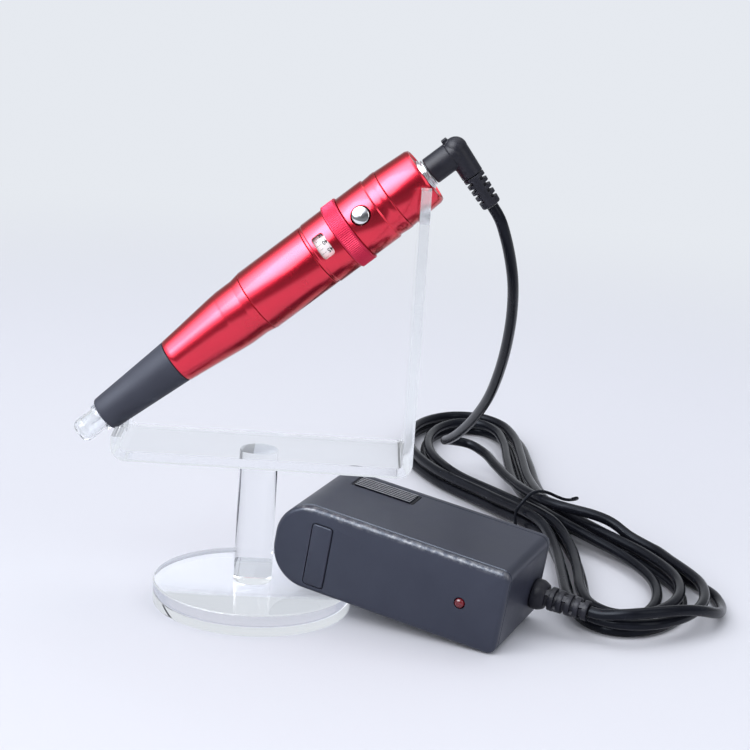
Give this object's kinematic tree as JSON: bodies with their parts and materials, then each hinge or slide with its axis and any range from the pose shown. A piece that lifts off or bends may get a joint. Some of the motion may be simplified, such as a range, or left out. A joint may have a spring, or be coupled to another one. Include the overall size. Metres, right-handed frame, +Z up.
{
  "type": "permanent makeup machine",
  "caption": "Slim rotary makeup pen with a needle-depth ring and push button, on a clear stand, with its angled plug, tied cord and mains adapter.",
  "frame": {"origin": "centre of the underside of the stand foot, on the table", "axes": "+Z up, +X along the stand cradle towards the pen rear, +Y away from the side with the window and button"},
  "size_m": [0.2052, 0.2514, 0.1473],
  "materials": {
    "clear_acrylic": "cast clear acrylic with polished edges",
    "clear_plastic": "clear moulded plastic",
    "red_anodised": "satin red anodised aluminium",
    "grip_rubber": "fine matt rubber",
    "black_cable": "smooth black cable jacket",
    "black_moulding": "fine grained black moulding",
    "chrome": "polished",
    "steel": "turned steel",
    "brass": "turned brass",
    "white_dial": "white with printed scale",
    "red_lens": "dark red lens, unlit",
    "board": "circuit board",
    "dark_part": "dark moulded electrical part"
  },
  "bodies": {
    "root": {"stand_foot": "clear_acrylic", "stand_post": "clear_acrylic", "stand_cradle": "clear_acrylic", "nose_grip": "grip_rubber", "front_sleeve": "red_anodised", "barrel": "red_anodised", "window_collar": "red_anodised", "button_housing": "red_anodised", "rear_cap": "red_anodised", "end_plate": "steel", "guide_bush": "brass", "motor_can": "steel", "motor_holder": "black_moulding", "motor_bearing": "brass", "motor_end_cap": "black_moulding", "core_tube": "steel", "circuit_board": "board", "push_switch": "dark_part", "dc_socket": "dark_part", "plug_barrel": "steel", "plug_elbow": "black_moulding", "plug_strain_relief": "black_moulding", "adapter_front_shell": "black_moulding", "adapter_rear_cover": "black_moulding", "adapter_end_panel": "black_moulding", "adapter_vent": "black_moulding", "adapter_led": "red_lens", "adapter_strain_relief": "black_moulding", "mains_blade_left": "steel", "mains_blade_right": "steel", "adapter_board": "board", "adapter_transformer": "dark_part", "adapter_capacitor": "dark_part", "cord_drop": "black_cable", "cord_adapter_lead": "black_cable", "cord_hank": "black_cable", "cord_tie": "black_cable"},
    "cap": {"needle_cap": "clear_plastic"},
    "needle": {"needle": "steel", "needle_hub": "clear_plastic", "needle_bar": "steel", "return_spring": "steel"},
    "adjuster": {"adjusting_ring": "red_anodised", "scale_drum": "white_dial"},
    "button": {"power_button": "chrome"},
    "rotor": {"motor_shaft": "steel", "motor_rotor": "brass", "drive_cam": "black_moulding"}
  },
  "joints": [
    {"name": "ring_turn", "type": "hinge", "parent": "root", "child": "adjuster", "pos_m": [0.02295, 0, 0.11697], "axis": [0.7576, 0, 0.6528], "range_deg": [-150, 150]},
    {"name": "button_press", "type": "slide", "parent": "root", "child": "button", "axis": [0.2082, 0.9478, -0.2416], "range_m": [0, 0.0007], "stiffness_N_per_m": 400},
    {"name": "cap_pull", "type": "slide", "parent": "root", "child": "cap", "axis": [-0.7576, 0, -0.6528], "range_m": [0, 0.012]},
    {"name": "needle_stroke", "type": "slide", "parent": "root", "child": "needle", "axis": [-0.7576, 0, -0.6528], "range_m": [0, 0.0025]},
    {"name": "rotor_spin", "type": "hinge", "parent": "root", "child": "rotor", "pos_m": [-0.00016, 0, 0.09706], "axis": [0.7576, 0, 0.6528], "continuous": true}
  ]
}
